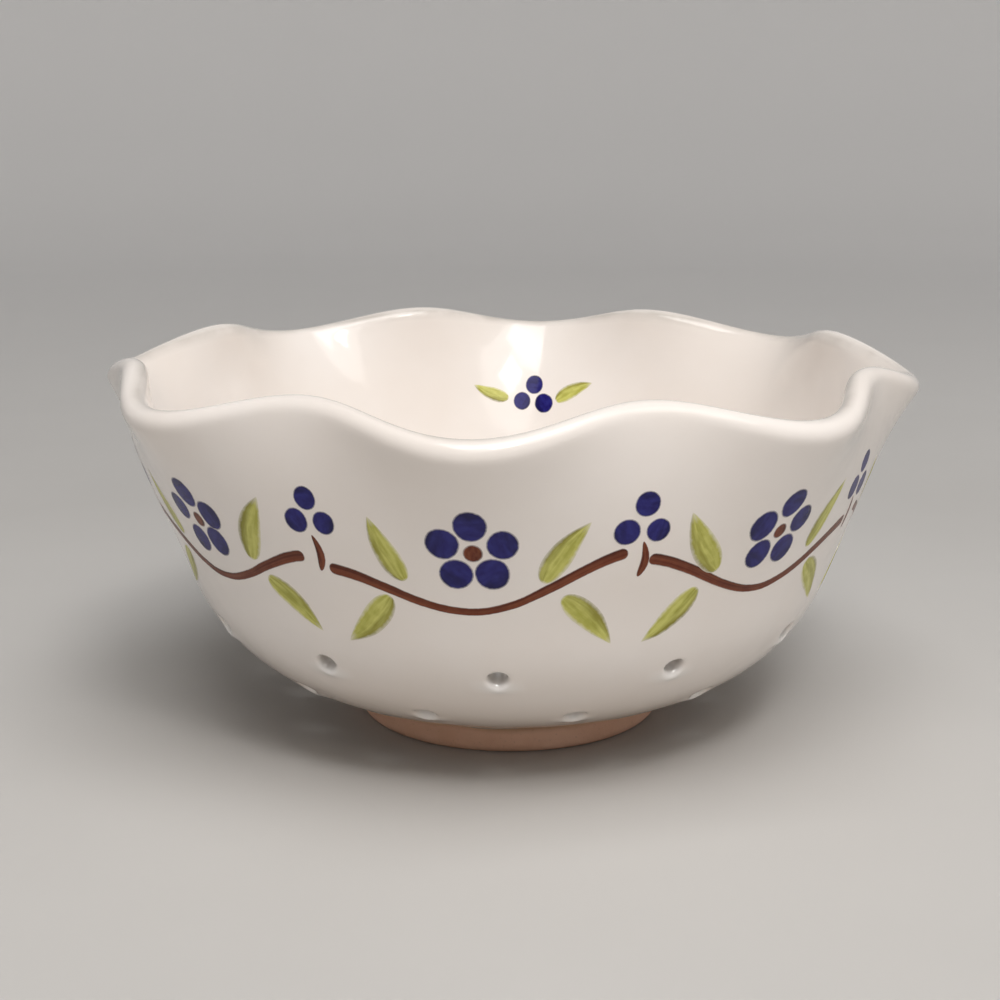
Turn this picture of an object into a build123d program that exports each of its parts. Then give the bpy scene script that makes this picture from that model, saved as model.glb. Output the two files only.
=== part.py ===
# Berry colander bowl: a glazed stoneware bowl with a fluted lip, drain holes and a bare foot ring.
# The origin is at the middle of the foot's underside, +Z up, with an outward lobe of the lip on each axis.
from build123d import *
from math import cos, radians, sin, tan
import os

# Lip and flutes, in millimetres and degrees: the lobes lean out and dip, the crests between them stand up
RIM_RADIUS = 100.0
RIM_HEIGHT = 95.8
LIP_THICKNESS = 6.8
LIP_LEAN = 72.0
FLUTE_COUNT = 8
FLUTE_DEPTH = 4.9
FLUTE_DIP = 3.0
FLUTE_LEAN = 20.0

# Wall, belly and floor
WALL = 5.8
FLOOR = 6.0
BELLY_RADIUS = 84.9
WALL_SLOPE = 71.5
UNDERSIDE_SLOPE = 18.0
UNDERSIDE_RUN = 13.0
CURVE_EASE = 0.34
SECTIONS_PER_FLUTE = 8

# Foot ring
FOOT_RADIUS = 40.5
FOOT_WIDTH = 8.0
FOOT_HEIGHT = 7.8
FOOT_ROUNDING = 2.0

# Drain holes: three rows on the belly, each placed by the wall's slope there, and a rosette in the floor
HOLE_DIAMETER = 4.5
HOLE_ROUNDING = 1.2
FLARE_AT_WALL = 50.0
FLARE_END = 80.0
HOLES_PER_ROW = 12
HOLE_TURN = 3.0
HOLE_ROW_SLOPES = (59.0, 37.5, 20.0)
ROSETTE_HOLES = 6

# The belly's outside is one arc, tangent to the straight underside and to the wall above it
belly_rise = radians(WALL_SLOPE)
belly_start = radians(UNDERSIDE_SLOPE)
belly_bend = (BELLY_RADIUS - FOOT_RADIUS - UNDERSIDE_RUN) / (sin(belly_rise) - sin(belly_start))
underside_height = FOOT_HEIGHT + UNDERSIDE_RUN * tan(belly_start)
belly_top = underside_height + belly_bend * (cos(belly_start) - cos(belly_rise))
bend_offset = BELLY_RADIUS - belly_bend * sin(belly_rise)
bend_height = belly_top + belly_bend * cos(belly_rise)

# Inside, the bend keeps the wall's thickness and a shallow dish runs down to the flat floor
dish_height = underside_height + WALL * cos(belly_start)
dish_bend = (dish_height - FOOT_HEIGHT - FLOOR) / (1 - cos(belly_start))

# The floor's holes open inside the foot ring, and the loft leaves a bore that the middle one widens
rosette_radius = (FOOT_RADIUS - FOOT_WIDTH) / 2
pilot_bore = HOLE_DIAMETER / 3

# The loft round the axis starts and ends on the section that lies midway between two rows' holes
section_step = 360 / (FLUTE_COUNT * SECTIONS_PER_FLUTE)
seam_angle = section_step * round((HOLE_TURN + 90 / HOLES_PER_ROW) / section_step)


def polar(angle):
    """Unit direction in plan at an angle from +X."""
    return Vector(cos(radians(angle)), sin(radians(angle)), 0)


def half_plane(angle):
    """Plane through the axis at an angle round it: its x is the radius, its y the height."""
    return Plane(origin=(0, 0, 0), x_dir=polar(angle), z_dir=polar(angle - 90))


def lip_place(angle):
    """Middle of the round lip, and the way that the wall runs into it, at an angle round the axis."""
    lobe = cos(radians(FLUTE_COUNT * angle))
    height = RIM_HEIGHT - FLUTE_DIP * lobe - LIP_THICKNESS / 2
    return Vector(RIM_RADIUS + FLUTE_DEPTH * lobe, height), polar(LIP_LEAN - FLUTE_LEAN * lobe)


def wall_curve(angle, side):
    """Control points of the wall's outside (side 1) or inside (side -1), from the belly up to the lip."""
    lip_middle, into_lip = lip_place(angle)
    up_wall = polar(WALL_SLOPE)
    belly = Vector(BELLY_RADIUS, belly_top)
    reach = (lip_middle - belly).length * CURVE_EASE
    start = belly if side > 0 else belly + up_wall.rotate(Axis.Z, 90) * WALL
    end = lip_middle + into_lip.rotate(Axis.Z, -90 * side) * LIP_THICKNESS / 2
    return start, start + up_wall * reach, end - into_lip * reach, end


def wall_section(angle):
    """Cut through floor, wall and lip at an angle round the axis."""
    outer = wall_curve(angle, 1)
    inner = wall_curve(angle, -1)
    lip_middle, into_lip = lip_place(angle)
    lip_radius = LIP_THICKNESS / 2
    lip_top = lip_middle + into_lip * lip_radius
    with BuildSketch(half_plane(angle)) as section:
        with BuildLine():
            seat = Line((pilot_bore, FOOT_HEIGHT), (FOOT_RADIUS, FOOT_HEIGHT))
            underside = PolarLine(seat @ 1, UNDERSIDE_RUN / cos(belly_start), UNDERSIDE_SLOPE)
            JernArc(underside @ 1, underside % 1, belly_bend, WALL_SLOPE - UNDERSIDE_SLOPE)
            Bezier(*outer)
            RadiusArc(outer[-1], lip_top, -lip_radius)
            RadiusArc(lip_top, inner[-1], -lip_radius)
            Bezier(*inner)
            bend = JernArc(inner[0], -polar(WALL_SLOPE), belly_bend - WALL, UNDERSIDE_SLOPE - WALL_SLOPE)
            dish = JernArc(bend @ 1, bend % 1, dish_bend, -UNDERSIDE_SLOPE)
            floor_line = Line(dish @ 1, (pilot_bore, FOOT_HEIGHT + FLOOR))
            Line(floor_line @ 1, seat @ 0)
        make_face()
    return section.sketch


def drain_punch(thickness):
    """Punch for one hole, flared at both ends so that the hole's edges come out rounded."""
    bore = HOLE_DIAMETER / 2
    rounding = min(HOLE_ROUNDING, thickness / 3)
    flare_start = thickness / 2 - rounding * sin(radians(FLARE_AT_WALL))
    flare_end = flare_start + rounding * sin(radians(FLARE_END))
    flare = bore + rounding * (1 - cos(radians(FLARE_END)))
    with BuildPart() as punch:
        with BuildSketch(Plane.XZ):
            with BuildLine():
                Line((0, -flare_end), (flare, -flare_end))
                RadiusArc((flare, -flare_end), (bore, -flare_start), rounding)
                Line((bore, -flare_start), (bore, flare_start))
                RadiusArc((bore, flare_start), (flare, flare_end), rounding)
                Line((flare, flare_end), (0, flare_end))
                Line((0, flare_end), (0, -flare_end))
            make_face()
        revolve(axis=Axis.Z)
    return punch.part


def belly_holes():
    """Places of the belly's drain holes, square to the wall, each row staggered against the next."""
    places = []
    middle = belly_bend - WALL / 2
    for row, slope in enumerate(HOLE_ROW_SLOPES):
        out = sin(radians(slope))
        down = cos(radians(slope))
        for hole in range(HOLES_PER_ROW):
            direction = polar(HOLE_TURN + 360 / HOLES_PER_ROW * (hole + row % 2 / 2))
            origin = direction * (bend_offset + middle * out) + Vector(0, 0, bend_height - middle * down)
            places.append(Plane(origin=origin, z_dir=direction * out - Vector(0, 0, down)).location)
    return places


def floor_holes():
    """Places of the floor's drain holes: one in the middle and a ring round it."""
    level = Vector(0, 0, FOOT_HEIGHT + FLOOR / 2)
    turns = [seam_angle + 360 / ROSETTE_HOLES * (hole + 0.5) for hole in range(ROSETTE_HOLES)]
    ring = [polar(turn) * rosette_radius for turn in turns]
    return [Location(level + place) for place in [Vector(0, 0, 0)] + ring]


# Bowl body: wall sections lofted once round the axis and back to the first, then pierced
section_angles = [seam_angle + section_step * number for number in range(FLUTE_COUNT * SECTIONS_PER_FLUTE)]
wall_sections = [wall_section(angle) for angle in section_angles]
with BuildPart() as whole_bowl:
    loft(sections=wall_sections + wall_sections[:1])
wall_punch = drain_punch(WALL)
floor_punch = drain_punch(FLOOR)
with BuildPart() as bowl_body:
    add(whole_bowl.part)
    punches = [wall_punch.moved(place) for place in belly_holes()]
    punches += [floor_punch.moved(place) for place in floor_holes()]
    add(punches, mode=Mode.SUBTRACT)
bowl_body.part.label = "bowl_body"

# Foot ring: bare clay, luted flat against the underside, its standing edges rounded
with BuildPart() as foot_ring:
    with BuildSketch(Plane.XZ):
        with Locations((FOOT_RADIUS, 0)):
            Rectangle(FOOT_WIDTH, FOOT_HEIGHT, align=(Align.MAX, Align.MIN))
    revolve(axis=Axis.Z)
    fillet(foot_ring.edges().group_by(Axis.Z)[0], min(FOOT_ROUNDING, FOOT_WIDTH / 3))
foot_ring.part.label = "foot_ring"

os.makedirs("parts", exist_ok=True)
for piece in (bowl_body, foot_ring):
    export_step(piece.part, f"parts/{piece.part.label}.step")
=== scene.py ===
# Berry colander bowl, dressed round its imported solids: a fluted glazed bowl on a bare clay foot.
import bmesh
import bpy
import random
from math import atan2, cos, exp, hypot, pi, radians, sin, tan
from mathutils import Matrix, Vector, noise


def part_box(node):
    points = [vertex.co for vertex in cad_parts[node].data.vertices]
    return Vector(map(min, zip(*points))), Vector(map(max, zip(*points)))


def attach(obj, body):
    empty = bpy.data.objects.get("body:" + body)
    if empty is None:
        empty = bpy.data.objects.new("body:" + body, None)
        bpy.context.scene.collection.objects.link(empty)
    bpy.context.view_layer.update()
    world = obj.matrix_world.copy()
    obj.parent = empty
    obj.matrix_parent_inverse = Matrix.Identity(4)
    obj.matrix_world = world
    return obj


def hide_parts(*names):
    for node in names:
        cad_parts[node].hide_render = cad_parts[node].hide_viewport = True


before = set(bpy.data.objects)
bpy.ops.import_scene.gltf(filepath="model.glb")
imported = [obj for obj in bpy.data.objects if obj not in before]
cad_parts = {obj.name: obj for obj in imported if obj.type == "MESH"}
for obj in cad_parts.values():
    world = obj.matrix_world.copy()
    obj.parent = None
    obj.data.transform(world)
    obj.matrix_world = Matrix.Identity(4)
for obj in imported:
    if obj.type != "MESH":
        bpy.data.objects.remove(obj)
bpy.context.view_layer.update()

# Bowl body. One piece of thrown stoneware: its lip is pressed into eight soft flutes while the clay is
# leather hard, drain holes are punched through the belly and the floor, and all of it but the foot is
# dipped in an off-white gloss glaze that rounds the edges of the holes.
body_low, body_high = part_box("bowl_body")
seat = body_low.z
foot_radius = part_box("foot_ring")[1].x
flutes = 8
flute_depth = 0.0049
flute_dip = 0.003
flute_lean = radians(20)
lip_lean = radians(72)
lip_bead = 0.0034
hand_slips = ((0, -0.0022), (180, -0.0014), (202.5, 0.0021))
slip_reach = radians(14)
rim_radius = body_high.x - lip_bead - flute_depth
rim_height = body_high.z - flute_dip
wall = 0.0058
floor = 0.006
belly_radius = 0.0849
wall_slope = radians(71.5)
underside_slope = radians(18)
underside_run = 0.013
curve_ease = 0.34
bend = (belly_radius - foot_radius - underside_run) / (sin(wall_slope) - sin(underside_slope))
underside_length = underside_run / cos(underside_slope)
underside_height = seat + underside_run * tan(underside_slope)
belly_top = underside_height + bend * (cos(underside_slope) - cos(wall_slope))
bend_offset = belly_radius - bend * sin(wall_slope)
bend_height = belly_top + bend * cos(wall_slope)
inner_bend = bend - wall
dish_offset = bend_offset + inner_bend * sin(underside_slope)
dish_height = bend_height - inner_bend * cos(underside_slope)
dish_bend = (dish_height - seat - floor) / (1 - cos(underside_slope))
pool_bend = 0.0014
pool_ragged = 0.0002
pool_waves = (5, 13)
pool_end = pi / 2 + underside_slope
pool_run = pool_bend * (1 - sin(underside_slope)) / cos(underside_slope)
pool_offset = foot_radius + pool_bend
pool_height = seat + pool_run * sin(underside_slope) - pool_bend * cos(underside_slope)
lap_depth = 0.0012


def lip_place(angle):
    """Middle of the lip's bead and the way the wall runs into it, with the slips of the potter's hand."""
    lobe = cos(flutes * angle)
    lean = lip_lean - flute_lean * lobe
    out = rim_radius + flute_depth * lobe
    for slip_angle, slip in hand_slips:
        away = (angle - radians(slip_angle) + pi) % (2 * pi) - pi
        out += slip * exp(-((away / slip_reach) ** 2))
    return Vector((out, rim_height - flute_dip * lobe - lip_bead)), Vector((cos(lean), sin(lean)))


def wall_spot(share, side, angle):
    """Radius and height on the wall's outside (side 1) or inside (side -1), from belly 0 to lip 1."""
    middle, into_lip = lip_place(angle)
    up_wall = Vector((cos(wall_slope), sin(wall_slope)))
    start = Vector((belly_radius, belly_top))
    reach = (middle - start).length * curve_ease
    if side < 0:
        start += Vector((-up_wall.y, up_wall.x)) * wall
    end = middle + Vector((into_lip.y, -into_lip.x)) * lip_bead * side
    hold = start + up_wall * reach
    pull = end - into_lip * reach
    rest = 1 - share
    return start * rest**3 + hold * 3 * rest**2 * share + pull * 3 * rest * share**2 + end * share**3


def section_spot(zone, place, angle):
    """Radius and height of one point of the bowl's section, in the zone that it lies in."""
    if zone == "seat":
        return Vector((place, seat))
    if zone in ("lap", "pool"):
        waves = sum(sin(count * angle + number) for number, count in enumerate(pool_waves))
        ragged = pool_ragged * waves * (place - pool_end) / (pi - pool_end)
        height = pool_height + pool_bend * sin(place) + ragged
        spot = Vector((pool_offset + pool_bend * cos(place), height))
        return spot if zone == "pool" else Vector((spot.x - lap_depth, spot.y))
    if zone == "underside":
        return Vector((foot_radius + place * cos(underside_slope), seat + place * sin(underside_slope)))
    if zone == "belly":
        return Vector((bend_offset + bend * sin(place), bend_height - bend * cos(place)))
    if zone == "wall":
        return wall_spot(place, 1, angle)
    if zone == "lip":
        middle, into_lip = lip_place(angle)
        out = Vector((into_lip.y, -into_lip.x))
        return middle + out * lip_bead * cos(place) + into_lip * lip_bead * sin(place)
    if zone == "inner wall":
        return wall_spot(place, -1, angle)
    if zone == "inner belly":
        return Vector((bend_offset + inner_bend * sin(place), bend_height - inner_bend * cos(place)))
    if zone == "dish":
        inward = dish_bend * (sin(underside_slope) - sin(place))
        drop = dish_bend * (cos(place) - cos(underside_slope))
        return Vector((dish_offset - inward, dish_height - drop))
    return Vector((place, seat + floor))


def steps(start, end, count):
    """Evenly spaced values after start, up to end."""
    return [start + (end - start) * number / count for number in range(1, count + 1)]


# The section's points, from the hole in the floor out under the bowl, up over the lip and back inside
hole_turn = radians(3)
columns = 144
wall_steps = 16
lip_steps = 8
dish_steps = 6
under_steps = 4
seat_steps = 5
belly_steps = (6, 7, 4)
hole_rows = [radians(59), radians(37.5), radians(20)]
holes_per_row = 12
rosette_holes = 6
hole_pitch = 0.00265
rosette = 0.01625
floor_between = [0.006, 0.0084]
bore = 0.0023
edge_round = 0.0017
edge_sag = 0.55
glaze_bead = 0.0012
bead_rings = (0.3, 0.95, 1.4, 1.0)
hole_lip = bore + edge_round
high_row, middle_row, low_row = hole_rows
floor_places = [hole_lip] + floor_between + [rosette + hole_pitch * number for number in range(-2, 3)]
seat_places = floor_places + steps(floor_places[-1], foot_radius - lap_depth, seat_steps)
low_hole = underside_length + bend * (low_row - underside_slope)
dish_edge = underside_slope - (hole_pitch - inner_bend * (low_row - underside_slope)) / dish_bend
belly_stops = [low_row, middle_row, high_row, wall_slope]
belly_places = [low_row]
for start, end, count in zip(belly_stops, belly_stops[1:], belly_steps):
    belly_places += steps(start, end, count)
wall_places = steps(0, 1, wall_steps)
section = [("seat", place) for place in seat_places]
section += [("lap", pi)] + [("pool", place) for place in [pi] + steps(pi, pool_end, under_steps)]
section += [("underside", place) for place in steps(pool_run, low_hole - hole_pitch, under_steps)]
section += [("belly", place) for place in belly_places]
section += [("wall", place) for place in wall_places]
section += [("lip", place) for place in steps(0, pi, lip_steps)]
section += [("inner wall", 1 - place) for place in wall_places]
section += [("inner belly", place) for place in reversed(belly_places[:-1])]
section += [("dish", place) for place in [dish_edge] + steps(dish_edge, 0, dish_steps)]
section += [("floor", place) for place in reversed(floor_places)]

# The section is drawn point by point and spun once round the axis
bpy.ops.object.select_all(action="DESELECT")
bpy.ops.mesh.primitive_circle_add(vertices=3, radius=0.001, location=(0, 0, 0))
bowl = bpy.context.object
bowl.name = "glazed_bowl"
bpy.ops.object.mode_set(mode="EDIT")
bpy.ops.mesh.select_all(action="SELECT")
bpy.ops.mesh.merge(type="CENTER")
drawn = Vector((0, 0, 0))
for zone, place in section:
    spot = section_spot(zone, place, radians(90 / flutes))
    point = Vector((spot.x * cos(hole_turn), spot.x * sin(hole_turn), spot.y))
    if (zone, place) == section[0]:
        bpy.ops.transform.translate(value=point)
    else:
        bpy.ops.mesh.extrude_region_move(TRANSFORM_OT_translate={"value": point - drawn})
    drawn = point
clay = bmesh.from_edit_mesh(bowl.data)
clay.verts.ensure_lookup_table()
row_of = clay.verts.layers.int.new("row")
for number, vert in enumerate(sorted(clay.verts, key=lambda vert: vert.index)):
    vert[row_of] = number
bmesh.update_edit_mesh(bowl.data)
bpy.ops.mesh.select_all(action="SELECT")
bpy.ops.mesh.spin(steps=columns, angle=2 * pi, center=(0, 0, 0), axis=(0, 0, 1))
bpy.ops.mesh.select_all(action="SELECT")
bpy.ops.mesh.remove_doubles(threshold=0.00001)

# The lip is pressed into its flutes. The glaze is marked darker at the lip's inner edge, partly where it
# breaks thin and partly as painted shade, and darker down towards the foot, partly where it runs thin and
# partly as painted shade on the faces that turn down; the holes later get painted shade in their bores and
# a painted highlight on their lower lips
foot_fade = radians(45)
foot_fade_ease = 1.2
underside_shade = 0.9
thin_at = radians(138)
thin_reach = radians(45)
clay = bmesh.from_edit_mesh(bowl.data)
row_of = clay.verts.layers.int["row"]
lip_break_and_shade = clay.verts.layers.float.new("lip_break_and_shade")
low_shade_and_thin_coat = clay.verts.layers.float.new("low_shade_and_thin_coat")
clay.verts.layers.float.new("bore_painted_shade")
pooled_and_highlit = clay.verts.layers.float.new("pooled_and_highlit")
grid = {}
for vert in clay.verts:
    zone, place = section[vert[row_of]]
    angle = atan2(vert.co.y, vert.co.x)
    spot = section_spot(zone, place, angle)
    vert.co = Vector((spot.x * cos(angle), spot.x * sin(angle), spot.y))
    # Lip's inner edge: glaze breaking thin there, and painted shade where the lip turns over
    if zone == "lip":
        vert[lip_break_and_shade] = max(0, 1 - abs(place - thin_at) / thin_reach)
    # Towards the foot: thin glaze, and painted shade on the glaze pool at the joint, on the underside and
    # up the belly, fading as the belly turns up
    if zone in ("lap", "pool"):
        vert[low_shade_and_thin_coat] = 1
    if zone == "underside":
        vert[low_shade_and_thin_coat] = underside_shade
    if zone == "belly":
        vert[low_shade_and_thin_coat] = underside_shade * max(0, 1 - (place - low_row) / foot_fade) ** foot_fade_ease
    grid[vert[row_of], round((angle - hole_turn) / (2 * pi) * columns) % columns] = vert

# Drain holes: the clay round each one is drawn to a circle, on the outside and on the inside, and opened
belly_row = section.index(("belly", belly_places[0]))
inner_row = section.index(("inner belly", belly_places[0]))
rosette_row = floor_places.index(rosette)
row_columns = columns // holes_per_row
rosette_columns = columns // rosette_holes
first_rosette = 15
belly_reach = 1
rosette_reach = 6
rim_highlight = 0.6
holes = []
for number, slope in enumerate(hole_rows):
    step = belly_places.index(slope)
    for hole in range(holes_per_row):
        column = hole * row_columns + number % 2 * row_columns // 2
        angle = hole_turn + column * 2 * pi / columns
        out = Vector((cos(angle) * sin(slope), sin(angle) * sin(slope), -cos(slope)))
        holes.append((belly_row + step, inner_row - step, column, belly_reach, out))
for hole in range(rosette_holes):
    column = first_rosette + hole * rosette_columns
    far_row = len(section) - 1 - rosette_row
    holes.append((rosette_row, far_row, column, rosette_reach, Vector((0, 0, -1))))
for vert in clay.verts:
    vert.select = False
punches = []
for outer_row, far_row, column, reach, out in holes:
    ends = [grid[outer_row, column].co.copy(), grid[far_row, column].co.copy()]
    for row, end in zip((outer_row, far_row), ends):
        ring = [(row, column + turn) for turn in (-reach, reach)]
        ring += [(row + up, column + turn) for up in (-1, 1) for turn in range(-reach, reach + 1)]
        verts = [grid[place, turn % columns] for place, turn in ring]
        sideways = Vector((0, 0, 1)).cross(end).normalized()
        upward = out.cross(sideways)
        verts.sort(key=lambda vert: atan2((vert.co - end).dot(upward), (vert.co - end).dot(sideways)))
        start = verts.index(grid[row, (column + reach) % columns])
        for number, vert in enumerate(verts):
            turn = (number - start) * 2 * pi / len(verts)
            spread = sideways * cos(turn) + upward * sin(turn)
            vert.co = end + spread * (bore + edge_round * (1 - edge_sag * spread.z))
            # Lower half of each outer rim painted whiter, a painted highlight where the glaze also pools
            vert[pooled_and_highlit] = rim_highlight * max(0, -spread.z)
            if row == outer_row:
                vert.co += out * glaze_bead * bead_rings[0] * max(0, -spread.z)
        for turn in range(1 - reach, reach):
            grid[row, (column + turn) % columns].select = True
    punches.append((ends[0], ends[1], out))
punches.append((Vector((0, 0, seat)), Vector((0, 0, seat + floor)), Vector((0, 0, -1))))
clay.select_flush_mode()
bmesh.update_edit_mesh(bowl.data)
bpy.ops.mesh.delete(type="VERT")

# Each hole's two rims are bridged, and the bridge is drawn in to the bore that the punch left, with a bead
# of glaze on its lower lip outside. The bore is painted dark as painted shade, darkest deep in and up its
# upper side
edge_rings = 3
rim_aside = 1.5 * hole_lip
rim_away = 2 * hole_lip
darkening_middle = 0.6
darkening_rise = 0.5
darkening_ease = 3
for near, far, out in punches:
    bpy.ops.mesh.select_all(action="DESELECT")
    clay = bmesh.from_edit_mesh(bowl.data)
    middle = (near + far) / 2
    for edge in clay.edges:
        away = (edge.verts[0].co + edge.verts[1].co) / 2 - middle
        aside = away - out * away.dot(out)
        if edge.is_boundary and aside.length < rim_aside and away.length < rim_away:
            edge.select = True
    rim_indices = {vert.index for edge in clay.edges if edge.select for vert in edge.verts}
    clay.select_flush_mode()
    bmesh.update_edit_mesh(bowl.data)
    bpy.ops.mesh.bridge_edge_loops(number_cuts=2 * edge_rings)
    clay = bmesh.from_edit_mesh(bowl.data)
    bore_painted_shade = clay.verts.layers.float["bore_painted_shade"]
    pooled_and_highlit = clay.verts.layers.float["pooled_and_highlit"]
    half = (far - near).length / 2
    for vert in clay.verts:
        if vert.select and vert.index not in rim_indices:
            away = vert.co - middle
            depth = away.dot(out)
            spread = (away - out * depth).normalized()
            ring = edge_rings - int(abs(depth) / half * (edge_rings + 0.5))
            turn = ring / edge_rings * pi / 2
            rounding = edge_round * (1 - edge_sag * spread.z)
            deep = (half - rounding * (1 - cos(turn))) * (1 if depth > 0 else -1)
            if depth > 0:
                deep += glaze_bead * bead_rings[ring] * max(0, -spread.z)
            vert.co = middle + out * deep + spread * (bore + rounding * (1 - sin(turn)))
            # Painted shade, darkest deep in the bore and up its upper side; the lower half is painted
            # whiter below as a painted highlight
            upper_bore_darkening = min(1, max(0, darkening_middle + darkening_rise * spread.z))
            vert[bore_painted_shade] = upper_bore_darkening * (ring / edge_rings) ** darkening_ease
            vert[pooled_and_highlit] = max(0, -spread.z)
    bmesh.update_edit_mesh(bowl.data)
bpy.ops.mesh.select_all(action="SELECT")
bpy.ops.mesh.normals_make_consistent(inside=False)
bpy.ops.object.mode_set(mode="OBJECT")
soften = bowl.modifiers.new("glaze softening", "SUBSURF")
soften.levels = 1
soften.render_levels = 1
bpy.ops.object.modifier_apply(modifier=soften.name)
bpy.ops.object.shade_smooth()


def add_node(finish, kind, **sockets):
    """Adds a node to a finish, with each named socket set to a value or wired to another node's output."""
    made = finish.node_tree.nodes.new(kind)
    for name, value in sockets.items():
        socket = made.inputs[name.replace("_", " ")]
        if isinstance(value, bpy.types.NodeSocket):
            finish.node_tree.links.new(value, socket)
        else:
            socket.default_value = value
    return made


def mottle(finish, scale, detail=3.0, roughness=0.55):
    """Soft uneven pattern over the piece, at a number of patches to the metre."""
    spots = add_node(finish, "ShaderNodeTexCoord")
    pattern = add_node(finish, "ShaderNodeTexNoise", Vector=spots.outputs["Object"], Scale=scale)
    pattern.inputs["Detail"].default_value = detail
    pattern.inputs["Roughness"].default_value = roughness
    return pattern.outputs["Fac"]


def spread_range(finish, value, low, high, new_low=0.0, new_high=1.0):
    """Maps a value from one range to another and holds it there."""
    ranged = add_node(finish, "ShaderNodeMapRange", Value=value, From_Min=low, From_Max=high)
    ranged.inputs["To Min"].default_value = new_low
    ranged.inputs["To Max"].default_value = new_high
    return ranged.outputs["Result"]


def combine(finish, action, first, second):
    """One step of arithmetic on two values."""
    made = add_node(finish, "ShaderNodeMath")
    made.operation = action
    for socket, value in zip(made.inputs, (first, second)):
        if isinstance(value, bpy.types.NodeSocket):
            finish.node_tree.links.new(value, socket)
        else:
            socket.default_value = value
    return made.outputs["Value"]


def tint(finish, share, first, second):
    """Colour between two colours, by a share."""
    made = finish.node_tree.nodes.new("ShaderNodeMix")
    made.data_type = "RGBA"
    for socket, value in zip((made.inputs[0], made.inputs[6], made.inputs[7]), (share, first, second)):
        if isinstance(value, bpy.types.NodeSocket):
            finish.node_tree.links.new(value, socket)
        else:
            socket.default_value = value
    return made.outputs[2]


def glaze_colour(finish):
    """Off-white of the glaze, a little warmer and cooler in patches as it gathered."""
    patches = spread_range(finish, mottle(finish, 24.0), 0.35, 0.65)
    return tint(finish, patches, (0.86, 0.795, 0.74, 1), (0.885, 0.83, 0.785, 1))


def under_glaze(name):
    """Finish of whatever lies under the clear gloss glaze, with the glaze's slow ripple and fine skin."""
    finish = bpy.data.materials.new(name)
    finish.use_nodes = True
    shader = finish.node_tree.nodes["Principled BSDF"]
    shader.inputs["Coat Weight"].default_value = 1.0
    shader.inputs["Coat Roughness"].default_value = 0.10
    shader.inputs["Coat IOR"].default_value = 1.5
    shader.inputs["IOR"].default_value = 1.45
    shader.inputs["Specular IOR Level"].default_value = 0.0
    body = spread_range(finish, mottle(finish, 160.0), 0.3, 0.7, 0.38, 0.5)
    finish.node_tree.links.new(body, shader.inputs["Roughness"])
    ripple = mottle(finish, 55.0, 2.0)
    skin = combine(finish, "MULTIPLY", mottle(finish, 900.0, 2.0), 0.02)
    height = combine(finish, "ADD", ripple, skin)
    bump = add_node(finish, "ShaderNodeBump", Height=height, Strength=0.35, Distance=0.0006)
    finish.node_tree.links.new(bump.outputs["Normal"], shader.inputs["Normal"])
    finish.node_tree.links.new(bump.outputs["Normal"], shader.inputs["Coat Normal"])
    return finish, shader


# Glaze marks: darker towards the foot, partly thin glaze and partly painted shade; darker up the bores as
# painted shade; whiter on the holes' lower lips as a painted highlight where glaze also pools, and glossier
# there; darker at the lip's inner edge, partly glaze breaking thin and partly painted shade
white_glaze, shader = under_glaze("off-white gloss glaze")
colour = glaze_colour(white_glaze)
patchy = spread_range(white_glaze, mottle(white_glaze, 90.0), 0.3, 0.7, 0.4, 1.0)
glaze_and_light_marks = {
    "low_shade_and_thin_coat": (0.80, None, (0.42, 0.31, 0.22, 1)),
    "pooled_and_highlit": (1.0, None, (0.97, 0.95, 0.925, 1)),
    "bore_painted_shade": (0.85, None, (0.22, 0.19, 0.16, 1)),
    "lip_break_and_shade": (0.60, patchy, (0.36, 0.32, 0.27, 1)),
}
for where, (strength, broken_by, mark_colour) in glaze_and_light_marks.items():
    mark = add_node(white_glaze, "ShaderNodeAttribute")
    mark.attribute_name = where
    share = combine(white_glaze, "MULTIPLY", mark.outputs["Fac"], strength)
    if broken_by:
        share = combine(white_glaze, "MULTIPLY", share, broken_by)
    colour = tint(white_glaze, share, colour, mark_colour)
white_glaze.node_tree.links.new(colour, shader.inputs["Base Color"])
thick = add_node(white_glaze, "ShaderNodeAttribute")
thick.attribute_name = "pooled_and_highlit"
for socket, thin_value, thick_value in (("Coat Roughness", 0.10, 0.06), ("Coat IOR", 1.5, 2.2)):
    gloss = spread_range(white_glaze, thick.outputs["Fac"], 0.1, 0.7, thin_value, thick_value)
    white_glaze.node_tree.links.new(gloss, shader.inputs[socket])
bowl.data.materials.append(white_glaze)
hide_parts("bowl_body")
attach(bowl, "root")

# Foot ring. A ring of clay luted under the floor with slip and wiped clean of glaze before firing, so it
# shows the bare pink-buff body, a little sandy, with the glaze ending in an uneven toasted line at its top.
foot_inner = 0.0325
foot_width = foot_radius - foot_inner
foot_round = 0.002
foot_corner = foot_round * 0.3
foot_taper = 0.0004
inner_waist = 0.0002
foot_turns = 128
foot_section = [(-foot_width, seat), (-foot_width + inner_waist, seat * 0.62), (-foot_width, foot_round)]
foot_section += [(-foot_width + foot_corner, foot_corner), (-foot_width + foot_round, 0)]
foot_section += [(-foot_width / 2, 0), (-foot_round, 0), (-foot_corner, foot_corner)]
foot_section += [(0, foot_round), (0, seat * 0.45), (-foot_taper, seat * 0.75), (-foot_taper * 2, seat)]
bpy.ops.object.select_all(action="DESELECT")
bpy.ops.mesh.primitive_circle_add(vertices=3, radius=0.001, location=(0, 0, 0))
foot = bpy.context.object
foot.name = "bare_foot"
bpy.ops.object.mode_set(mode="EDIT")
bpy.ops.mesh.select_all(action="SELECT")
bpy.ops.mesh.merge(type="CENTER")
drawn = Vector((0, 0, 0))
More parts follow.
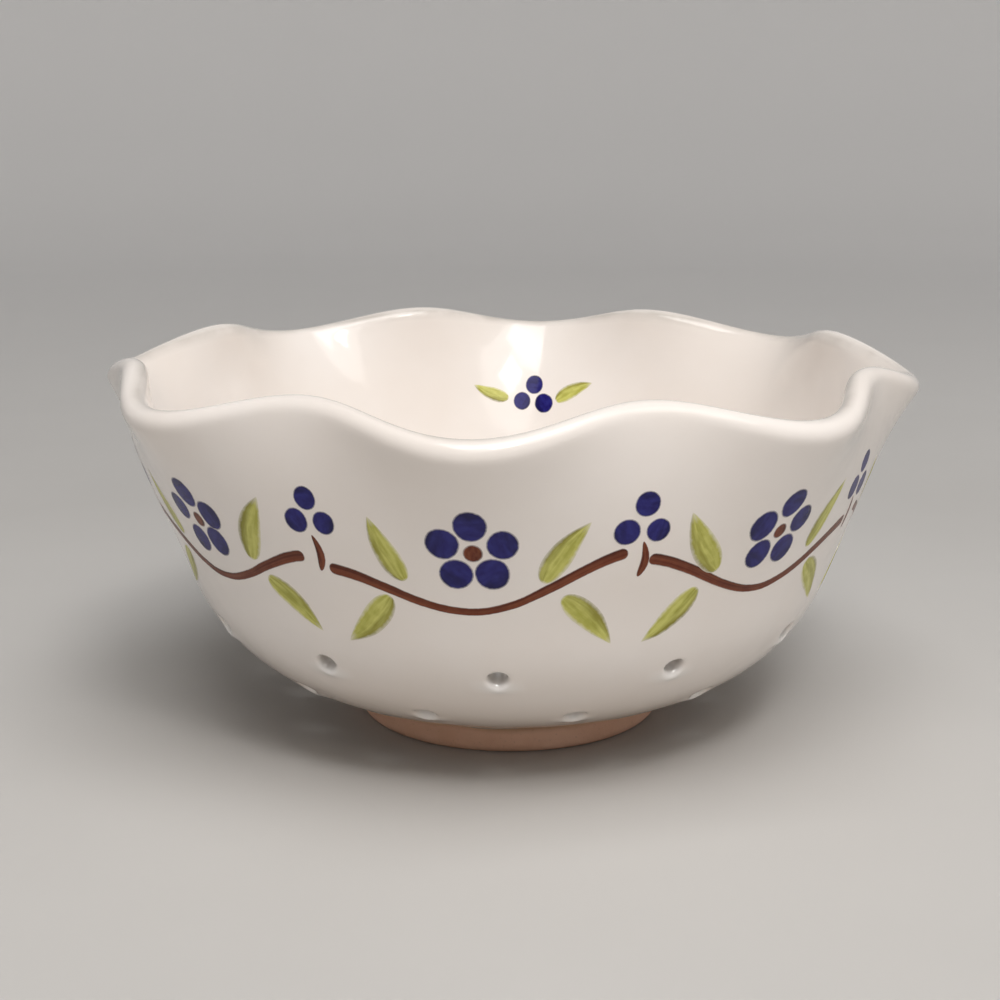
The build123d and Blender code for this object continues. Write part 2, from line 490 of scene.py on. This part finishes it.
for number, (inward, height) in enumerate(foot_section):
    point = Vector((foot_radius + inward, 0, height))
    if number == 0:
        bpy.ops.transform.translate(value=point)
    else:
        bpy.ops.mesh.extrude_region_move(TRANSFORM_OT_translate={"value": point - drawn})
    drawn = point
bpy.ops.mesh.select_all(action="SELECT")
bpy.ops.mesh.edge_face_add()
bpy.ops.mesh.delete(type="ONLY_FACE")
bpy.ops.mesh.select_all(action="SELECT")
bpy.ops.mesh.spin(steps=foot_turns, angle=2 * pi, center=(0, 0, 0), axis=(0, 0, 1))
bpy.ops.mesh.select_all(action="SELECT")
bpy.ops.mesh.remove_doubles(threshold=0.00001)
bpy.ops.mesh.normals_make_consistent(inside=False)
bpy.ops.object.mode_set(mode="OBJECT")
soften = foot.modifiers.new("wiped edges", "SUBSURF")
soften.levels = 1
soften.render_levels = 1
bpy.ops.object.modifier_apply(modifier=soften.name)
bpy.ops.object.shade_smooth()

bare_clay = bpy.data.materials.new("bare pink-buff clay")
bare_clay.use_nodes = True
shader = bare_clay.node_tree.nodes["Principled BSDF"]
shader.inputs["IOR"].default_value = 1.45
patches = spread_range(bare_clay, mottle(bare_clay, 70.0), 0.35, 0.65)
colour = tint(bare_clay, patches, (0.74, 0.43, 0.29, 1), (0.82, 0.51, 0.365, 1))
grit = spread_range(bare_clay, mottle(bare_clay, 1400.0, 2.0), 0.62, 0.70)
colour = tint(bare_clay, combine(bare_clay, "MULTIPLY", grit, 0.25), colour, (0.40, 0.24, 0.16, 1))
spots = add_node(bare_clay, "ShaderNodeTexCoord")
height = add_node(bare_clay, "ShaderNodeSeparateXYZ", Vector=spots.outputs["Object"]).outputs["Z"]
uneven = combine(bare_clay, "MULTIPLY", mottle(bare_clay, 60.0), 0.0030)
glaze_line = combine(bare_clay, "ADD", height, uneven)
toasted = spread_range(bare_clay, glaze_line, 0.0068, 0.0082)
colour = tint(bare_clay, combine(bare_clay, "MULTIPLY", toasted, 0.6), colour, (0.47, 0.27, 0.15, 1))
glazed = spread_range(bare_clay, glaze_line, 0.0084, 0.0087)
colour = tint(bare_clay, glazed, colour, (0.78, 0.74, 0.68, 1))
bare_clay.node_tree.links.new(colour, shader.inputs["Base Color"])
roughness = spread_range(bare_clay, glazed, 0.0, 1.0, 0.86, 0.25)
bare_clay.node_tree.links.new(roughness, shader.inputs["Roughness"])
coarse = combine(bare_clay, "MULTIPLY", mottle(bare_clay, 260.0), 1.5)
grain = combine(bare_clay, "ADD", mottle(bare_clay, 1100.0, 4.0), coarse)
bump = add_node(bare_clay, "ShaderNodeBump", Height=grain, Strength=0.6, Distance=0.00018)
bare_clay.node_tree.links.new(bump.outputs["Normal"], shader.inputs["Normal"])
foot.data.materials.append(bare_clay)
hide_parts("foot_ring")
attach(foot, "root")

# Blue blossoms and buds. Round dots of cobalt laid with a loaded brush on the biscuit ware, five to a
# blossom under each lobe and three to a bud under each crest. The glaze over them is the bowl's own.
hand = random.Random(11)
noise.seed_set(11)
mark_lift = 0.00004
mark_depth = 0.00012
brush_shake = 0.00016
brush_shake_pitch = 190
brush_shake_shift = 40
turn_slip = 6
size_slip = (0.93, 1.07)
place_slip = 0.0004
lobe_step = 2 * pi / flutes
dot_sides = 24
dot_rings = (0.9, 0.75, 0.55)
petals = 5
petal = 0.0037
petal_ring = 0.0066
blossom_height = 0.066
bud_dots = 3
bud_dot = 0.0030
bud_ring = 0.0040
bud_height = 0.0725
inner_height = 0.0705
inner_ring = 0.0036
inner_dot = 0.76
inner_lobes = (0, 2, 4, 6)


def wall_place(angle, height, side):
    """Point on wall or belly, outside (side 1) or inside (side -1), at an angle and a height."""
    low, high = 0.0, 1.0
    for halving in range(20):
        share = (low + high) / 2
        if wall_spot(share, side, angle).y < height:
            low = share
        else:
            high = share
    spot = wall_spot(low, side, angle)
    if height < spot.y:
        curve = bend if side > 0 else inner_bend
        spot = Vector((bend_offset + (curve**2 - (bend_height - height) ** 2) ** 0.5, height))
    return Vector((spot.x * cos(angle), spot.x * sin(angle), spot.y))


def flat_dot(name, radius, rings):
    """One brush dot, flat, with its distance from the edge kept for the colour."""
    bpy.ops.object.select_all(action="DESELECT")
    bpy.ops.mesh.primitive_circle_add(vertices=dot_sides, radius=radius, location=(0, 0, 0))
    dot = bpy.context.object
    dot.name = name
    bpy.ops.object.mode_set(mode="EDIT")
    bpy.ops.mesh.select_all(action="SELECT")
    for ring in rings:
        bpy.ops.mesh.extrude_region_move(TRANSFORM_OT_translate={"value": (0, 0, 0)})
        bpy.ops.transform.resize(value=(ring, ring, 1))
    bpy.ops.mesh.edge_face_add()
    bpy.ops.mesh.poke()
    bpy.ops.mesh.select_all(action="SELECT")
    bpy.ops.mesh.normals_make_consistent(inside=False)
    paint = bmesh.from_edit_mesh(dot.data)
    if paint.faces[:][0].normal.z < 0:
        bpy.ops.mesh.flip_normals()
        paint = bmesh.from_edit_mesh(dot.data)
    from_edge = paint.verts.layers.float.new("from_edge")
    along = paint.verts.layers.float.new("along")
    across = paint.verts.layers.float.new("across")
    paint.verts.layers.float.new("load")
    for vert in paint.verts:
        vert[from_edge] = 1 - hypot(vert.co.x, vert.co.y) / radius
        vert[along] = 0.5 + vert.co.y / radius / 2
        vert[across] = vert.co.x / radius
    bmesh.update_edit_mesh(dot.data)
    bpy.ops.object.mode_set(mode="OBJECT")
    return dot


def lay(mark, angle, height, turn, size, side):
    """A copy of a flat brush mark, turned, sized and laid on the wall with the small slips of a hand."""
    copy = mark.copy()
    copy.data = mark.data.copy()
    bpy.context.scene.collection.objects.link(copy)
    turn += radians(hand.uniform(-turn_slip, turn_slip))
    size *= hand.uniform(*size_slip)
    height += hand.uniform(-place_slip, place_slip)
    middle = wall_place(angle, height, side)
    radius = hypot(middle.x, middle.y)
    angle += hand.uniform(-place_slip, place_slip) / radius
    load = hand.random()
    shift = Vector((0, 0, brush_shake_shift * load))
    for vert in copy.data.vertices:
        shake = noise.noise_vector(vert.co * brush_shake_pitch + shift) * brush_shake
        right = vert.co.x + shake.x
        up = vert.co.y + shake.y
        across = (right * cos(turn) - up * sin(turn)) * size
        upward = (right * sin(turn) + up * cos(turn)) * size
        vert.co = wall_place(angle + side * across / radius, height + upward, side)
    copy.data.attributes["load"].data.foreach_set("value", [load] * len(copy.data.vertices))
    return copy


def fire_on(name, marks, finish):
    """Joins the marks of one colour, sinks them against the wall and gives them their finish."""
    bpy.ops.object.select_all(action="DESELECT")
    for mark in marks:
        mark.select_set(True)
    bpy.context.view_layer.objects.active = marks[0]
    bpy.ops.object.join()
    coat = bpy.context.object
    coat.name = name
    hug = coat.modifiers.new("against the wall", "SHRINKWRAP")
    hug.target = bowl
    hug.wrap_method = "NEAREST_SURFACEPOINT"
    hug.wrap_mode = "ABOVE_SURFACE"
    hug.offset = mark_lift
    bpy.ops.object.modifier_apply(modifier=hug.name)
    body = coat.modifiers.new("thickness of the colour", "SOLIDIFY")
    body.thickness = mark_depth
    body.offset = -1
    bpy.ops.object.modifier_apply(modifier=body.name)
    bpy.ops.object.shade_smooth_by_angle(angle=radians(35))
    coat.data.materials.clear()
    coat.data.materials.append(finish)
    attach(coat, "root")


def brush_colour(name, pale, full, deep, streakiness, edge_fade, edge_pool, tip_fade):
    """Finish of one colour: pale where the brush ran dry, deep along one edge and where it gathered."""
    finish, shader = under_glaze(name)
    shader.inputs["Coat Weight"].default_value = 0.6
    read = {}
    for part in ("from_edge", "along", "across", "load"):
        read[part] = add_node(finish, "ShaderNodeAttribute")
        read[part].attribute_name = part
        read[part] = read[part].outputs["Fac"]
    along = combine(finish, "MULTIPLY", read["along"], 1.6)
    across = combine(finish, "MULTIPLY", read["across"], streakiness)
    apart = combine(finish, "MULTIPLY", read["load"], 37.0)
    hairs = add_node(finish, "ShaderNodeCombineXYZ", X=along, Y=across, Z=apart)
    streaks = add_node(finish, "ShaderNodeTexNoise", Vector=hairs.outputs["Vector"], Scale=1.4, Detail=2.0)
    streaks = streaks.outputs["Fac"]
    blotches = combine(finish, "MULTIPLY", mottle(finish, 380.0, 3.0), 0.5)
    uneven = combine(finish, "ADD", streaks, blotches)
    colour = tint(finish, spread_range(finish, uneven, 0.58, 0.92), pale, full)
    one_side = combine(finish, "ADD", combine(finish, "MULTIPLY", read["across"], 0.55), streaks)
    colour = tint(finish, spread_range(finish, one_side, 0.45, 1.10, 0.0, 0.8), colour, deep)
    rim = combine(finish, "SUBTRACT", read["from_edge"], combine(finish, "MULTIPLY", streaks, 0.22))
    colour = tint(finish, spread_range(finish, rim, -0.02, 0.10, edge_pool, 0.0), colour, deep)
    ragged = combine(finish, "MULTIPLY", mottle(finish, 900.0, 3.0), edge_fade)
    inside = combine(finish, "SUBTRACT", read["from_edge"], ragged)
    shown = spread_range(finish, inside, -edge_fade, 0.5 * edge_fade)
    run_dry = combine(finish, "ADD", read["along"], combine(finish, "MULTIPLY", streaks, 0.3))
    run_dry = spread_range(finish, run_dry, 1.0, 1.16, 1.0, 1.0 - tip_fade)
    shown = combine(finish, "MULTIPLY", shown, run_dry)
    colour = tint(finish, shown, glaze_colour(finish), colour)
    finish.node_tree.links.new(colour, shader.inputs["Base Color"])
    return finish


dot = flat_dot("brush dot", petal, dot_rings)
dots = []
inner_dots = []
for number in range(flutes):
    lobe_angle = number * lobe_step
    for place in range(petals):
        turn = pi / 2 + place * 2 * pi / petals
        radius = wall_place(lobe_angle, blossom_height, 1).xy.length
        angle = lobe_angle + petal_ring * cos(turn) / radius
        dots.append(lay(dot, angle, blossom_height + petal_ring * sin(turn), turn, 1.0, 1))
    for place in range(bud_dots):
        turn = pi / 2 + place * 2 * pi / bud_dots
        crest = lobe_angle + lobe_step / 2
        radius = wall_place(crest, bud_height, 1).xy.length
        angle = crest + bud_ring * cos(turn) / radius
        dots.append(lay(dot, angle, bud_height + bud_ring * sin(turn), turn, bud_dot / petal, 1))
        if number in inner_lobes:
            radius = wall_place(lobe_angle, inner_height, -1).xy.length
            angle = lobe_angle + inner_ring * cos(turn) / radius
            inner_dots.append(lay(dot, angle, inner_height + inner_ring * sin(turn), turn, inner_dot, -1))
cobalt_pale = (0.022, 0.021, 0.175, 1)
cobalt_full = (0.013, 0.009, 0.115, 1)
cobalt_deep = (0.006, 0.005, 0.055, 1)
cobalt_brush = {"streakiness": 1.6, "edge_fade": 0.10, "edge_pool": 0.3, "tip_fade": 0.0}
cobalt = brush_colour("cobalt blue brush colour", cobalt_pale, cobalt_full, cobalt_deep, **cobalt_brush)
fire_on("blue_blossoms", dots, cobalt)
fire_on("inner_blue_buds", inner_dots, cobalt)

# Brown hearts, stalks and vine. Iron-brown strokes of a pointed brush: a running vine that dips under each
# blossom, a short stalk to each bud, and a dot at each blossom's heart.
vine_half = radians(20.2)
vine_swing = 0.0055
vine_height = 0.057
vine_breadth = 0.00145
vine_waist = 0.60
vine_swell = 1.4
vine_round = 0.022
stalk_length = 0.0085
stalk_breadth = 0.0011
stalk_bow = 0.0010
stalk_height = 0.0634
heart_size = 0.56
vine_radius = wall_place(0, vine_height, 1).xy.length


def flat_stroke(name, spine, breadth, slimness, along_steps, across_steps):
    """One brush stroke, flat, along a line and as broad as the brush was pressed at each share of it. Its
    slimness, about length over breadth, makes its ends count as edge just as its sides do."""
    bpy.ops.object.select_all(action="DESELECT")
    bpy.ops.mesh.primitive_grid_add(x_subdivisions=along_steps, y_subdivisions=across_steps, size=2)
    stroke = bpy.context.object
    stroke.name = name
    bpy.ops.object.mode_set(mode="EDIT")
    paint = bmesh.from_edit_mesh(stroke.data)
    from_edge = paint.verts.layers.float.new("from_edge")
    along = paint.verts.layers.float.new("along")
    across = paint.verts.layers.float.new("across")
    paint.verts.layers.float.new("load")
    for vert in paint.verts:
        share = (1 - cos(pi * (vert.co.x + 1) / 2)) / 2
        vert[from_edge] = min(1 - abs(vert.co.y), slimness * share, slimness * (1 - share))
        vert[along] = share
        vert[across] = vert.co.y
        here = Vector(spine(share))
        way = (Vector(spine(share + 0.005)) - Vector(spine(share - 0.005))).normalized()
        side = Vector((-way.y, way.x)) * breadth(share) * vert.co.y
        vert.co = Vector((here.x + side.x, here.y + side.y, 0))
    bmesh.update_edit_mesh(stroke.data)
    bpy.ops.mesh.select_all(action="SELECT")
    bpy.ops.mesh.remove_doubles(threshold=0.000002)
    bpy.ops.object.mode_set(mode="OBJECT")
    return stroke


def vine_line(share):
    """The vine's dip under one blossom, from crest to crest."""
    angle = vine_half * (2 * share - 1)
    return angle * vine_radius, -vine_swing * cos(flutes * angle)


def vine_press(share):
    """Half the vine's breadth: round and full where the brush went down and came up, slim between."""
    ends = min(1, share / vine_round, (1 - share) / vine_round)
    press = vine_waist + (1 - vine_waist) * abs(2 * share - 1) ** vine_swell
    return vine_breadth * press * max(0, 1 - (1 - ends) ** 2) ** 0.5


def stalk_line(share):
    """A short stalk, leaning a little."""
    return stalk_bow * sin(pi * share), stalk_length * (share - 0.5)


def stalk_press(share):
    """Half the stalk's breadth, fuller at its foot."""
    return stalk_breadth * max(0, sin(pi * share)) ** 0.5 * (1.1 - 0.4 * share)


vine = flat_stroke("brush vine", vine_line, vine_press, slimness=43, along_steps=48, across_steps=6)
stalk = flat_stroke("brush stalk", stalk_line, stalk_press, slimness=9, along_steps=10, across_steps=4)
strokes = []
for number in range(flutes):
    lobe_angle = number * lobe_step
    strokes.append(lay(vine, lobe_angle, vine_height, 0, 1.0, 1))
    strokes.append(lay(stalk, lobe_angle + lobe_step / 2, stalk_height, 0, 1.0, 1))
    strokes.append(lay(dot, lobe_angle, blossom_height, 0, heart_size, 1))
iron_pale = (0.21, 0.055, 0.020, 1)
iron_full = (0.125, 0.023, 0.007, 1)
iron_deep = (0.06, 0.010, 0.003, 1)
iron_brush = {"streakiness": 1.5, "edge_fade": 0.16, "edge_pool": 0.5, "tip_fade": 0.0}
iron = brush_colour("iron brown brush colour", iron_pale, iron_full, iron_deep, **iron_brush)
fire_on("brown_vine", strokes, iron)

# Green leaves. Each is one press and pull of a soft brush in yellow-green, so it is round and full at its
# base and runs out, streaky and dry, to a point. Pairs spring from the vine, and inside from the buds.
leaf_length = 0.0175
leaf_breadth = 0.0030
leaf_bow = 0.0008
base_ease = 0.5
tip_ease = 0.9
fullest = 0.4
leaf_gap = 0.0024
vine_leaves = ((radians(9.5), 0.0005, radians(62)), (radians(12), -0.0005, radians(-48)))
inner_leaf_size = 0.72
inner_leaf_tilt = radians(24)
inner_leaf_aside = 0.0075
inner_leaf_drop = 0.001


def leaf_line(share):
    """A leaf's middle line, bent a little as the wrist turns."""
    return leaf_length * share, leaf_bow * sin(pi * share)


def leaf_press(share):
    """Half a leaf's breadth, from its round base through its fullest part to its point."""
    return leaf_breadth * max(0, share) ** base_ease * max(0, 1 - share) ** tip_ease / fullest


leaf = flat_stroke("brush leaf", leaf_line, leaf_press, slimness=9, along_steps=30, across_steps=8)
leaves = []
inner_leaves = []
for number in range(flutes):
    lobe_angle = number * lobe_step
    for way in (-1, 1):
        for offset, rise, tilt in vine_leaves:
            height = vine_height - vine_swing * cos(flutes * offset) + rise
            turn = tilt if way > 0 else pi - tilt
            base = leaf_gap if tilt > 0 else -leaf_gap
            leaves.append(lay(leaf, lobe_angle + way * offset, height + base, turn, 1.0, 1))
        if number in inner_lobes:
            turn = inner_leaf_tilt if way > 0 else pi - inner_leaf_tilt
            radius = wall_place(lobe_angle, inner_height, -1).xy.length
            angle = lobe_angle - way * inner_leaf_aside / radius
            height = inner_height - inner_leaf_drop
            inner_leaves.append(lay(leaf, angle, height, turn, inner_leaf_size, -1))
green_pale = (0.62, 0.61, 0.17, 1)
green_full = (0.44, 0.43, 0.085, 1)
green_deep = (0.19, 0.165, 0.018, 1)
green_brush = {"streakiness": 1.5, "edge_fade": 0.30, "edge_pool": 0.06, "tip_fade": 0.7}
leaf_green = brush_colour("yellow-green brush colour", green_pale, green_full, green_deep, **green_brush)
fire_on("green_leaves", leaves, leaf_green)
fire_on("inner_green_leaves", inner_leaves, leaf_green)
for mark in (dot, vine, stalk, leaf):
    bpy.data.objects.remove(mark)

# Worktop and backdrop. A pale sheet, swept up all round, that the bowl stands on, painted lighter towards
# its far edges as painted light where the lamps reach it less.
sheet_radius = 1.5
sheet_sweep = ((1.12, 0.03), (1.09, 0.10), (1.05, 0.20), (1.02, 0.35), (1.0, 0.9))
bpy.ops.object.select_all(action="DESELECT")
bpy.ops.mesh.primitive_circle_add(vertices=96, radius=sheet_radius, fill_type="NOTHING", location=(0, 0, 0))
sheet = bpy.context.object
sheet.name = "pale_sheet"
bpy.ops.object.mode_set(mode="EDIT")
bpy.ops.mesh.select_all(action="SELECT")
for outward, upward in sheet_sweep:
    bpy.ops.mesh.extrude_region_move(TRANSFORM_OT_translate={"value": (0, 0, upward)})
    bpy.ops.transform.resize(value=(outward, outward, 1))
bpy.ops.mesh.select_all(action="DESELECT")
paper = bmesh.from_edit_mesh(sheet.data)
for vert in paper.verts:
    vert.select = vert.co.z < 0.001
paper.select_flush_mode()
bmesh.update_edit_mesh(sheet.data)
bpy.ops.mesh.edge_face_add()
bpy.ops.mesh.select_all(action="SELECT")
bpy.ops.mesh.normals_make_consistent(inside=True)
bpy.ops.object.mode_set(mode="OBJECT")
bpy.ops.object.shade_smooth_by_angle(angle=radians(60))
pale_paper = bpy.data.materials.new("pale matt sheet")
pale_paper.use_nodes = True
shader = pale_paper.node_tree.nodes["Principled BSDF"]
shader.inputs["Roughness"].default_value = 0.75
clouds = spread_range(pale_paper, mottle(pale_paper, 6.0), 0.3, 0.7)
near_colour = tint(pale_paper, clouds, (0.535, 0.52, 0.50, 1), (0.56, 0.545, 0.525, 1))
spots = add_node(pale_paper, "ShaderNodeTexCoord")
away = add_node(pale_paper, "ShaderNodeVectorMath", Vector=spots.outputs["Object"])
away.operation = "LENGTH"
# Painted light: the sheet grows lighter with distance from the bowl, so the far backdrop looks as bright as
# the floor near it
far_light_share = spread_range(pale_paper, away.outputs["Value"], 0.3, 1.5)
colour = tint(pale_paper, far_light_share, near_colour, (0.88, 0.87, 0.86, 1))
pale_paper.node_tree.links.new(colour, shader.inputs["Base Color"])
sheet.data.materials.append(pale_paper)

# Studio light. A large soft lamp in front on the right with a small bright one before it, a steep one over
# the mouth of the bowl, a weak one overhead, and a little light from all round.
def softbox(name, place, aim, size, power, colour):
    """One soft lamp, turned to what it lights."""
    lamp = bpy.data.lights.new(name, "AREA")
    lamp.shape = "RECTANGLE"
    lamp.size, lamp.size_y = size
    lamp.energy = power
    lamp.color = colour
    holder = bpy.data.objects.new(name, lamp)
    bpy.context.scene.collection.objects.link(holder)
    holder.location = place
    holder.visible_camera = False
    holder.rotation_mode = "QUATERNION"
    holder.rotation_quaternion = (Vector(aim) - Vector(place)).to_track_quat("-Z", "Y")


bowl_heart = (0, 0, 0.06)
softbox("key lamp", (0.36, -0.78, 1.20), bowl_heart, (1.2, 0.95), 7.5, (1.0, 0.955, 0.915))
softbox("window lamp", (0.27, -0.74, 0.95), bowl_heart, (0.24, 0.18), 2.7, (1.0, 0.98, 0.96))
softbox("steep lamp", (0.15, -0.45, 1.4), bowl_heart, (1.0, 0.8), 9.8, (0.985, 0.985, 0.985))
softbox("overhead lamp", (0.0, 0.3, 1.8), bowl_heart, (1.6, 1.4), 2.2, (1.0, 1.0, 1.0))
sky = bpy.data.worlds.new("soft room light")
sky.use_nodes = True
sky.node_tree.nodes["Background"].inputs["Color"].default_value = (0.95, 0.97, 1.0, 1)
sky.node_tree.nodes["Background"].inputs["Strength"].default_value = 0.05
bpy.context.scene.world = sky

# Camera. Where the photograph was taken from, close in and a little above the lip.
lens = bpy.data.cameras.new("photograph camera")
lens.lens = 59.36
lens.sensor_width = 36.0
camera = bpy.data.objects.new("photograph camera", lens)
camera.location = (0.0364, -0.4305, 0.1544)
camera.rotation_euler = (radians(77.25), 0, radians(5.17))
bpy.context.scene.collection.objects.link(camera)
bpy.context.scene.camera = camera
bpy.context.scene.view_settings.view_transform = "Standard"
